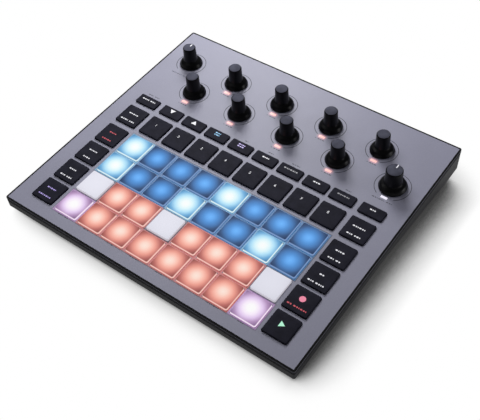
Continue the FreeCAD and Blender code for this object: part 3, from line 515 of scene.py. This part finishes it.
def rounded_profile(corners, steps=7):
    """Points of an open profile whose corners, given as (radius, height, rounding), are rolled off."""
    points = []
    for number, (*place, rounding) in enumerate(corners):
        corner = Vector(place)
        if not rounding:
            points.append(tuple(corner))
            continue
        back = (Vector(corners[number - 1][:2]) - corner).normalized()
        ahead = (Vector(corners[number + 1][:2]) - corner).normalized()
        half_angle = back.angle(ahead) / 2
        centre = corner + (back + ahead).normalized() * rounding / math.sin(half_angle)
        tangent = rounding / math.tan(half_angle)
        start, end = corner + back * tangent - centre, corner + ahead * tangent - centre
        points += [tuple(centre + start.slerp(end, step / steps) * rounding) for step in range(steps + 1)]
    return points


# Pads and buttons

PAD_COLORS = {"C": "pad_cyan", "B": "pad_blue", "W": "pad_white", "O": "pad_orange", "P": "pad_lavender"}
PAD_MAP = ["POOOOOOP", "WOOWOOOW", "CBBCBBCB", "CBBBCBBB"]


def make_pads():
    for row, letters in enumerate(PAD_MAP):
        for column, letter in enumerate(letters):
            node = f"pad_{row + 1}_{column + 1}"
            shell = Shell()
            half = PAD_SIZE / 2
            add_cap(shell, COLUMNS[column], ROWS[row], half, half, PAD_EDGE, PAD_PLUNGER, PAD_CROWN)
            pad = new_piece(f"soft_{node}", shell.points, shell.faces, PAD_COLORS[letter], node)
            shell.add_map(pad)
            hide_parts(node)


# Spilled light: how far it reaches over bare paint, the spot of the map half way to the next
# lit pad, and the place along a side, as a share of its half, where its corners begin
HALF_WEB = PITCH / 2 - PAD_OPENING
HALF_WEB_SPOT = 0.2
SPILL_REACH = 1.5
SPILL_LIFT = 0.01
SPILL_STOP = 0.92


def is_lit(row, column):
    inside = 0 <= row < len(PAD_MAP) and 0 <= column < len(PAD_MAP[0])
    return inside and PAD_MAP[row][column] != "W"


def add_spill(shell, row, column):
    """Adds a thin frame of paint round a lit pad; its spots run to 1 where no other lit pad follows."""
    middle = Vector((COLUMNS[column], ROWS[row]))
    sides = [(1, 0), (0, 1), (-1, 0), (0, -1)]
    ends = [(HALF_WEB, HALF_WEB_SPOT) if is_lit(row + up, column + right) else (SPILL_REACH, 1.0)
            for right, up in sides]
    inner, outer, spots = [], [], []
    for index, (right, up) in enumerate(sides):
        outward, along = Vector((right, up)), Vector((-up, right))
        (reach, spot), (next_reach, next_spot) = ends[index], ends[(index + 1) % 4]
        for place in (-SPILL_STOP, SPILL_STOP):
            edge = middle + (outward + along * place) * PAD_OPENING
            inner.append(edge)
            outer.append(edge + outward * reach)
            spots.append(spot)
        corner = middle + (outward + along) * PAD_OPENING
        inner.append(corner)
        outer.append(corner + outward * reach + along * next_reach)
        spots.append(max(spot, next_spot))
    shell.add_frame(inner, outer, spots, SPILL_LIFT)


def make_spill():
    """Light of the pads on the bars of the panel between them."""
    shells = {letter: Shell() for letter in "BCOP"}
    for row, letters in enumerate(PAD_MAP):
        for column, letter in enumerate(letters):
            if letter in shells:
                add_spill(shells[letter], row, column)
    for letter, shell in shells.items():
        color = PAD_COLORS[letter].replace("pad", "spill")
        piece = new_piece(f"{color}_frames", shell.points, shell.faces, color, "case")
        shell.add_map(piece)


SIDE_ROWS = ROWS + [TRACK_ROW]
UPPER_COLUMNS = [-SIDE_COLUMN] + COLUMNS + [SIDE_COLUMN]
BUTTON_BLOCKS = {
    "upper_buttons": ([(x, UPPER_ROW) for x in UPPER_COLUMNS], UPPER_DEPTH, UPPER_PLUNGER),
    "track_buttons": ([(x, TRACK_ROW) for x in COLUMNS], BUTTON_SIZE, BUTTON_PLUNGER),
    "left_buttons": ([(-SIDE_COLUMN, y) for y in SIDE_ROWS], BUTTON_SIZE, BUTTON_PLUNGER),
    "right_buttons": ([(SIDE_COLUMN, y) for y in SIDE_ROWS], BUTTON_SIZE, BUTTON_PLUNGER),
}


def make_buttons():
    for node, (places, depth, plunger) in BUTTON_BLOCKS.items():
        shell = Shell()
        for x, y in places:
            add_cap(shell, x, y, BUTTON_SIZE / 2, depth / 2, BUTTON_EDGE, plunger, BUTTON_CROWN)
        block = new_piece(f"soft_{node}", shell.points, shell.faces, "button", node)
        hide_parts(node)


# Legends: plain marks that ride on their buttons

def add_bar(shell, x, y, length, height, z):
    """Adds a flat bar with round ends."""
    half_x, half_y = length / 2, height / 2
    shell.add_rings([rounded_ring(x, y, half_x, half_y, half_y, z),
                     rounded_ring(x, y, half_x, half_y, half_y, z + INK_THICKNESS)])


def add_outline(shell, corners, z):
    """Adds a flat plate with the given outline, anticlockwise."""
    shell.add_rings([[(x, y, z) for x, y in corners], [(x, y, z + INK_THICKNESS) for x, y in corners]])


def marks(name, color, body, draw):
    shell = Shell()
    draw(shell)
    piece = new_piece(name, shell.points, shell.faces, color, body)
    return piece


LEGEND_Z = CAP_TOP + INK_LIFT
LINE_1 = 1.7
LINE_2 = -5.5
UPPER_LINE = 0.9
UPPER_PAIR = (0.9, -1.0)
DASH_LENGTHS = {"-": 1.7, "+": 1.2, ".": 0.7, " ": 0.5}
DASH_GAP = 0.42
DASH_HEIGHT = 1.05


def dashes(shell, x, y, pattern, z=LEGEND_Z, height=DASH_HEIGHT):
    """Adds a centred row of short bars in place of a word: long, middle, short, or a space."""
    whole = sum(DASH_LENGTHS[mark] for mark in pattern) + DASH_GAP * (len(pattern) - 1)
    left = x - whole / 2
    for mark in pattern:
        length = DASH_LENGTHS[mark]
        if mark != " ":
            add_bar(shell, left + length / 2, y, length, height, z)
        left += length + DASH_GAP


# Two rows of bars for each side button: column sign, row, colour, upper and lower pattern
SIDE_LEGENDS = [
    (-1, 4, "white_mark", "-+-.+", "-+-. +-."),
    (-1, 3, "red_mark", "-+.+", "+-.-+"),
    (-1, 2, "white_mark", "-.+.+", "+.-+"),
    (-1, 1, "white_mark", "-+.+", "-.+ +-."),
    (-1, 0, "lavender_mark", "-.-+.", "+-.+-.+"),
    (1, 4, "white_mark", "-+.-+.", "-.+ +-."),
    (1, 3, "white_mark", "-.+-", "+-. -+"),
    (1, 2, "white_mark", "-+", "-.+ -+.+"),
]


def make_side_legends():
    for side, row, color, upper, lower in SIDE_LEGENDS:
        x, y = side * SIDE_COLUMN, SIDE_ROWS[row]
        body = "left_buttons" if side < 0 else "right_buttons"
        marks(f"{body[:-8]}_legend_{row + 1}", color, body, lambda shell: (
            dashes(shell, x, y + LINE_1, upper), dashes(shell, x, y + LINE_2, lower)))


def triangle(x, y, turn, length, width):
    """Corners of a triangle whose tip points at the given angle in degrees."""
    along = Vector((math.cos(math.radians(turn)), math.sin(math.radians(turn))))
    across = Vector((-along.y, along.x))
    middle = Vector((x, y))
    corners = (middle + along * length / 2, middle - along * length / 2 + across * width / 2,
               middle - along * length / 2 - across * width / 2)
    return [tuple(corner) for corner in corners]


DOT_RADIUS = 2.15
PLAY_SIZE = (3.7, 4.4)
ARROW_SIZE = (3.4, 4.4)


def make_transport_legends():
    """Record dot with its bars, and the play triangle."""
    x, dot_y = SIDE_COLUMN, ROWS[1] + 1.3
    marks("record_dot", "pink_mark", "right_buttons", lambda shell: shell.add_rings([
        rounded_ring(x, dot_y, DOT_RADIUS, DOT_RADIUS, DOT_RADIUS, z, 12)
        for z in (LEGEND_Z, LEGEND_Z + INK_THICKNESS)]))
    marks("record_legend", "red_mark", "right_buttons",
          lambda shell: dashes(shell, x, ROWS[1] + LINE_2, "-+ -+.-+."))
    marks("play_triangle", "green_mark", "right_buttons",
          lambda shell: add_outline(shell, triangle(x, ROWS[0] + 0.6, 0, *PLAY_SIZE), LEGEND_Z))


# Bars of the shallow upper buttons: column number, colour, pattern, and a second row's pattern
UPPER_LEGENDS = [(0, "white_mark", "-+.+ -+.", ""), (3, "blue_mark", "-+.", "+-."),
                 (4, "lavender_mark", "-.+.", "-+-"), (5, "white_mark", "-.+.", ""),
                 (6, "dim_mark", "-+.-+.+", ""), (7, "white_mark", "-+-", ""),
                 (8, "dim_mark", "-+.-+.", ""), (9, "white_mark", "-.+", "")]


def make_upper_legends():
    for column, color, first, second in UPPER_LEGENDS:
        x, y = UPPER_COLUMNS[column], UPPER_ROW + UPPER_LINE
        rows = [(y + UPPER_PAIR[0], first), (y + UPPER_PAIR[1], second)] if second else [(y, first)]
        marks(f"upper_legend_{column + 1}", color, "upper_buttons",
              lambda shell: [dashes(shell, x, place, pattern) for place, pattern in rows])
    for column, turn in ((1, -90), (2, 90)):
        x = UPPER_COLUMNS[column]
        marks(f"upper_arrow_{column}", "white_mark", "upper_buttons", lambda shell: add_outline(
            shell, triangle(x, UPPER_ROW + UPPER_LINE, turn, *ARROW_SIZE), LEGEND_Z))


# Small print on the panel, as bars: x, y and pattern
CONTROL_PRINT_OFFSET = 14.6
SMALL_DASH_HEIGHT = 0.7
PANEL_PRINT = [(-97.5, 133.8, "-+. -+."), (COLUMNS[3], 133.8, "-."), (COLUMNS[4], 133.8, "-+."),
               (COLUMNS[5], 133.8, "-+-."), (COLUMNS[7], 133.8, "-+.")]
PANEL_PRINT += [(x, 9.9, pattern) for x, pattern in zip(COLUMNS, (
    "-+. -+", "-.+", "-.-", "-+.-+", "-+-.", "", "-+.-+.", "-+."))]


def make_panel_print():
    shell = Shell()
    for x, y, pattern in PANEL_PRINT:
        dashes(shell, x, y, pattern, 0.0, SMALL_DASH_HEIGHT)
    for name, x, y, _, _ in KNOBS:
        pattern = "-+.-+. -+." if name in ("volume", "filter") else ". -+-"
        dashes(shell, x, y - CONTROL_PRINT_OFFSET, pattern, 0.0, SMALL_DASH_HEIGHT)
    piece = new_piece("panel_print", shell.points, shell.faces, "small_ink", "case")


NUMBER_SIZE = 3.0
NUMBER_SHIFT = -1.0


def number_mark(number, x, y):
    """A plain number as thin raised print on a track button."""
    name = f"track_number_{number}"
    curve = bpy.data.curves.new(name, "FONT")
    curve.body = str(number)
    curve.size = NUMBER_SIZE
    curve.align_x = "CENTER"
    curve.align_y = "CENTER"
    curve.extrude = INK_THICKNESS / 2
    text = bpy.data.objects.new(name, curve)
    bpy.context.scene.collection.objects.link(text)
    mesh = bpy.data.meshes.new_from_object(text)
    bpy.data.objects.remove(text)
    for vertex in mesh.vertices:
        vertex.co = PANEL @ (Vector((x, y, LEGEND_Z)) + vertex.co)
    mesh.name = name
    mesh.materials.clear()
    mesh.materials.append(MATERIALS["white_mark"])
    piece = bpy.data.objects.new(name, mesh)
    bpy.context.scene.collection.objects.link(piece)
    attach(piece, "track_buttons")


def make_numbers():
    for number, x in enumerate(COLUMNS, start=1):
        number_mark(number, x + NUMBER_SHIFT, TRACK_ROW + LINE_1)


# Rotary controls

KNOBS = [("volume", -SIDE_COLUMN, BACK_KNOB_ROW, PLAIN_STEM, PLAIN_SKIRT)]
KNOBS += [(f"macro_{number}", COLUMNS[number - 1], FRONT_KNOB_ROW if number % 2 else BACK_KNOB_ROW,
           PLAIN_STEM, PLAIN_SKIRT) for number in range(1, 9)]
KNOBS.append(("filter", SIDE_COLUMN, FRONT_KNOB_ROW, LARGE_STEM, LARGE_SKIRT))


def knob_profile(stem, skirt):
    """Outline of a knob, from its underside over the rim, dome and neck to its top edge."""
    bottom = KNOB_LIFT
    return rounded_profile([
        (SHAFT_RADIUS + 0.1, bottom, 0), (skirt, bottom, 0.2), (skirt, bottom + KNOB_RIM, 0.3),
        (skirt - KNOB_DOME_INSET, bottom + KNOB_DOME, KNOB_DOME_ROUNDING),
        (stem + KNOB_DRAFT, bottom + KNOB_SHOULDER, KNOB_NECK_ROUNDING),
        (stem, KNOB_TOP - KNOB_EDGE, 0.3), (stem - KNOB_EDGE, KNOB_TOP - 0.02, 0),
        (stem - KNOB_EDGE - 0.05, KNOB_TOP - TOP_LIFT, 0)])


def turned_piece(name, x, y, profile, material, body, segments=96):
    shell = Shell()
    lathe(shell, x, y, profile, segments)
    return new_piece(name, shell.points, shell.faces, material, body)


def make_knobs():
    """Cap, top disc and shaft of every control."""
    for name, x, y, stem, skirt in KNOBS:
        body = f"macro_knob_{name[-1]}" if name.startswith("macro") else f"{name}_knob"
        cap = turned_piece(f"{name}_cap", x, y, knob_profile(stem, skirt), "knob", body)
        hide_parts(body)
        face = stem - KNOB_EDGE - TOP_GAP
        disc = [(face, KNOB_TOP - 0.2), (face, KNOB_TOP - 0.04), (face - 0.06, KNOB_TOP), (0.4, KNOB_TOP)]
        turned_piece(f"{name}_top", x, y, disc, "knob_top", body)
        rod = [(SHAFT_RADIUS, SHAFT_BOTTOM), (SHAFT_RADIUS, KNOB_LIFT + 1.2)]
        turned_piece(f"{name}_shaft", x, y, rod, "steel", body, 48)


POINTER_HALF_WIDTH = 0.4
POINTER_ENDS = ((1.4, 3.9), (2.3, 5.3))


def make_pointers():
    """White line on the top face of the two controls that have an end stop."""
    for (name, x, y, _, _), (inner, outer) in zip((KNOBS[0], KNOBS[-1]), POINTER_ENDS):
        left, right = x - POINTER_HALF_WIDTH, x + POINTER_HALF_WIDTH
        corners = [(left, y + inner), (right, y + inner), (right, y + outer), (left, y + outer)]
        pointer = marks(f"{name}_pointer", "white_mark", f"{name}_knob",
                        lambda shell: add_outline(shell, corners, KNOB_TOP))


RING_GAP = 2.6
RING_WIDTH = 0.45
RING_OPENINGS = {"volume": 28.0, "filter": 31.0}
MACRO_RING_OPENING = 22.0
RING_STEPS = 120


def make_rings():
    """Thin printed ring round every control, open in front by an angle each way."""
    for name, x, y, _, skirt in KNOBS:
        opening = RING_OPENINGS.get(name, MACRO_RING_OPENING)
        middle = skirt + RING_GAP
        inner, outer = middle - RING_WIDTH / 2, middle + RING_WIDTH / 2
        section = ((inner, 0.0), (outer, 0.0), (outer, INK_LIFT), (inner, INK_LIFT))
        sections = []
        for step in range(RING_STEPS + 1):
            angle = math.radians(-90 + opening + (360 - 2 * opening) * step / RING_STEPS)
            sections.append([(x + math.cos(angle) * radius, y + math.sin(angle) * radius, z)
                             for radius, z in section])
        shell = Shell()
        shell.add_rings(sections)
        ring = new_piece(f"{name}_ring", shell.points, shell.faces, "ring_ink", "case")


HALO_LIFT = 0.015
HALO_REACH = (2.2, 2.0)
WINDOW_BOTTOM = -8.0
WINDOW_CROWN = 0.1


def make_indicators():
    """Lit windows in front of the controls, and the light that they spread over the paint."""
    shells = {"led_pink": Shell(), "led_white": Shell()}
    halos = Shell()
    for name, x, y, _, _ in KNOBS[1:]:
        shell = shells["led_white" if name == "filter" else "led_pink"]
        middle = y - LED_OFFSET
        half_x, half_y = LED_LENGTH / 2, LED_WIDTH / 2
        shell.add_rings([rounded_ring(x, middle, half_x, half_y, 0.3, WINDOW_BOTTOM),
                         rounded_ring(x, middle, half_x, half_y, 0.3, 0.0),
                         rounded_ring(x, middle, half_x - 0.12, half_y - 0.12, 0.25, WINDOW_CROWN)])
        if name != "filter":
            add_halo(halos, x, middle, half_x + HALO_REACH[0], half_y + HALO_REACH[1])
    for color, shell in shells.items():
        piece = new_piece(f"{color}_windows", shell.points, shell.faces, color, "case")
        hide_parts("led_windows")
    halo = new_piece("led_halos", halos.points, halos.faces, "halo", "case")
    halos.add_map(halo)


def add_halo(shell, x, y, half_x, half_y):
    """Adds a very thin plate on the paint, its spots running from 0 in the middle to 1 at the rim."""
    levels = ((1.0, 0.0), (1.0, HALO_LIFT), (0.6, HALO_LIFT), (0.3, HALO_LIFT), (0.02, HALO_LIFT))
    rings = [rounded_ring(x, y, half_x * share, half_y * share, half_y * share, z) for share, z in levels]
    spots = [(share, 0.0) for share, _ in levels for _ in rings[0]]
    shell.add_rings(rings, spots)


# Frame nodes that keep their own shape

NODE_MATERIALS = {
    "top_panel": "panel", "lower_case": "case", "rubber_feet": "foot", "case_screws": "steel",
    "keymat": "mat", "control_board": "board", "encoders": "tin", "main_board": "board",
    "battery": "foil", "jack_sockets": "socket", "port_sockets": "tin", "power_button": "button",
}


def dress_nodes():
    for node, material in NODE_MATERIALS.items():
        piece = frame["nodes"][node]
        piece.data.materials.clear()
        piece.data.materials.append(MATERIALS[material])


# Stage, lights and camera

# Camera at the photograph's viewing angle: place in millimetres, turn in degrees
CAMERA_PLACE = (250.998, -327.238, 424.455)
CAMERA_TURN = (43.3219, 0.2776, 36.0311)
CAMERA_LENS = 62.192
CAMERA_SHIFT = (-0.01528, -0.00626)

# Floor: half its side and reach of its shade in metres, and the shade as (open share, grey level)
FLOOR_SIZE = 4.0
SHADE_REACH = 0.035
SHADE_TILT = (-1.0, -0.2, 1.0)
SHADE_STOPS = ((0.33, 0.05), (0.40, 0.13), (0.50, 0.38), (0.60, 0.65), (0.68, 0.76), (0.76, 0.87),
               (0.86, 1.0))


def floor_paper():
    """Pale paper; seen directly or mirrored it is white, with the soft shade of a light from the left."""
    material = new_material("floor_paper", srgb(225, 225, 228), roughness=1.0, specular=0.0)
    path = add_node(material, "ShaderNodeLightPath")
    seen = calculate(material, "MAXIMUM", path.outputs["Is Camera Ray"], path.outputs["Is Glossy Ray"])
    tilt = add_node(material, "ShaderNodeVectorMath", {0: SHADE_TILT}, operation="NORMALIZE")
    open_share = add_node(material, "ShaderNodeAmbientOcclusion", {
        "Distance": SHADE_REACH, "Normal": tilt.outputs["Vector"]}, samples=24)
    shade = ramp(material, open_share.outputs["AO"],
                 [(place, (level, level, level, 1.0)) for place, level in SHADE_STOPS])
    white = add_node(material, "ShaderNodeEmission", {"Color": shade, "Strength": 1.0})
    choice = add_node(material, "ShaderNodeMixShader", {
        0: seen, 1: shader_of(material).outputs["BSDF"], 2: white.outputs["Emission"]})
    output = material.node_tree.nodes["Material Output"]
    material.node_tree.links.new(choice.outputs["Shader"], output.inputs["Surface"])
    return material


def make_floor():
    mesh = bpy.data.meshes.new("floor")
    corners = [(x * FLOOR_SIZE, y * FLOOR_SIZE, 0) for x, y in ((-1, -1), (1, -1), (1, 1), (-1, 1))]
    mesh.from_pydata(corners, [], [(0, 1, 2, 3)])
    mesh.materials.append(floor_paper())
    floor = bpy.data.objects.new("floor", mesh)
    bpy.context.scene.collection.objects.link(floor)


def add_area(name, place, size, power):
    """Round soft lamp aimed at the middle of the floor under the object."""
    lamp = bpy.data.lights.new(name, "AREA")
    lamp.shape = "DISK"
    lamp.size = size
    lamp.energy = power
    holder = bpy.data.objects.new(name, lamp)
    holder.location = place
    holder.rotation_euler = (-Vector(place)).to_track_quat("-Z", "Y").to_euler()
    holder.visible_camera = False
    bpy.context.scene.collection.objects.link(holder)


WORLD_LIGHT = 0.12

# Lamps: name, place in metres, size and power
LAMPS = [("key", (-0.22, 0.29, 0.36), 0.22, 1.75), ("top", (-0.3, 0.05, 0.55), 0.25, 0.95),
         ("left_fill", (-0.5, -0.45, 0.4), 0.3, 0.2), ("right_fill", (0.6, 0.25, 0.16), 0.3, 0.9)]


def make_lights():
    """Dim white world, white where it is seen directly or through something, and soft lamps."""
    world = bpy.data.worlds.new("studio")
    bpy.context.scene.world = world
    world.use_nodes = True
    path = add_node(world, "ShaderNodeLightPath")
    seen = calculate(world, "MAXIMUM", path.outputs["Is Camera Ray"], path.outputs["Is Transmission Ray"])
    background = world.node_tree.nodes["Background"]
    background.inputs["Color"].default_value = (1, 1, 1, 1)
    level = map_range(world, seen, 0.0, 1.0, WORLD_LIGHT, 1.0)
    world.node_tree.links.new(level, background.inputs["Strength"])
    for lamp in LAMPS:
        add_area(*lamp)


def make_camera():
    lens = bpy.data.cameras.new("camera")
    lens.lens = CAMERA_LENS
    lens.sensor_width = 36.0
    lens.shift_x, lens.shift_y = CAMERA_SHIFT
    lens.clip_start = 0.01
    camera = bpy.data.objects.new("camera", lens)
    camera.location = Vector(CAMERA_PLACE) * MM
    camera.rotation_euler = [math.radians(angle) for angle in CAMERA_TURN]
    bpy.context.scene.collection.objects.link(camera)
    bpy.context.scene.camera = camera


dress_nodes()
make_pads()
make_spill()
make_buttons()
make_side_legends()
make_transport_legends()
make_upper_legends()
make_numbers()
make_panel_print()
make_knobs()
make_pointers()
make_rings()
make_indicators()
make_floor()
make_lights()
make_camera()
bpy.context.scene.view_settings.view_transform = "Standard"
